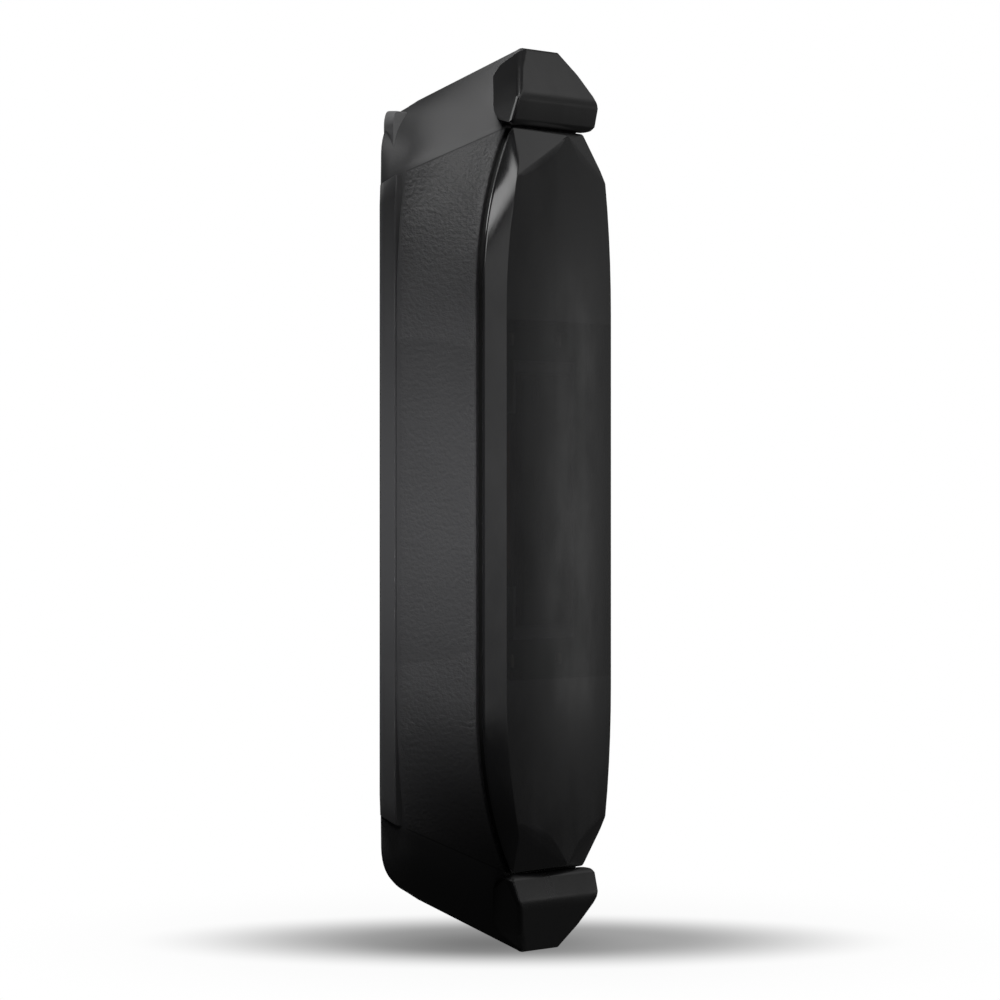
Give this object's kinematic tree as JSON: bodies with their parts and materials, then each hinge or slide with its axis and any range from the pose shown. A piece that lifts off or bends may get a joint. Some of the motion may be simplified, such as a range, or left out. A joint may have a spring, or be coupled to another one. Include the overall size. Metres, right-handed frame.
{
  "type": "cycling computer",
  "caption": "Slim strap-on cycling computer pod: textured case with a flared strap hook at each end, smoked front cover, grip pad and a quick-thread coin cell door in its back.",
  "frame": {"origin": "centre of the pod's back, in the plane of the grip pad's outer face", "axes": "+Z along the pod towards the end that has the pad's pull tab, +Y out of the back, away from the front cover, X across the pod"},
  "size_m": [0.03, 0.0074, 0.053],
  "materials": {
    "case_plastic": "moulded with a fine matte texture",
    "cover_plastic": "smoked, polished",
    "gasket_rubber": "matte black",
    "pad_rubber": "matte dark grey",
    "door_plastic": "fine moulded texture",
    "seal_rubber": "satin red-brown",
    "cell_steel": "nickel-plated, faintly brushed",
    "cell_seal_plastic": "natural nylon",
    "cradle_plastic": "natural nylon",
    "contact_metal": "gold-plated spring bronze",
    "polyimide_film": "amber film",
    "board_laminate": "green solder mask over glass laminate",
    "screw_steel": "turned and zinc-plated",
    "bezel_steel": "thin rolled sheet, darkened",
    "display_glass": "anti-glare glass over a dark display",
    "chip_plastic": "moulded epoxy",
    "shield_tin": "tinned sheet",
    "ceramic": "fired ceramic",
    "tan_ceramic": "fired ceramic with tinned ends",
    "capacitor_film": "moulded resin",
    "led_resin": "clear epoxy over white ceramic"
  },
  "bodies": {
    "pod": {"rear_case": "case_plastic", "front_cover": "cover_plastic", "cover_gasket": "gasket_rubber", "rear_pad": "pad_rubber", "cell_cradle": "cradle_plastic", "negative_contact": "contact_metal", "positive_contact": "contact_metal", "cell_insulator": "polyimide_film", "main_board": "board_laminate", "board_screws": "screw_steel", "display_frame": "bezel_steel", "display_glass": "display_glass", "display_driver": "chip_plastic", "display_flex": "polyimide_film", "radio_module": "chip_plastic", "radio_shield": "shield_tin", "chip_antenna": "ceramic", "motion_sensor": "chip_plastic", "timing_crystal": "shield_tin", "status_led": "led_resin", "reserve_capacitor": "capacitor_film", "board_passives": "tan_ceramic"},
    "cell": {"cell_can": "cell_steel", "cell_seal": "cell_seal_plastic", "cell_cap": "cell_steel"},
    "door": {"battery_door": "door_plastic", "door_seal": "seal_rubber"}
  },
  "joints": [
    {"name": "cell_rise", "type": "slide", "parent": "pod", "child": "cell", "axis": [0, 1, 0], "range_m": [0, 0.009]},
    {"name": "door_turn", "type": "hinge", "parent": "cell", "child": "door", "pos_m": [0, 0, 0], "axis": [0, 1, 0], "range_deg": [0, 540]}
  ],
  "couplings": [
    {"joint": "door_turn", "follows": "cell_rise", "rad_per_m": 1047.2}
  ]
}
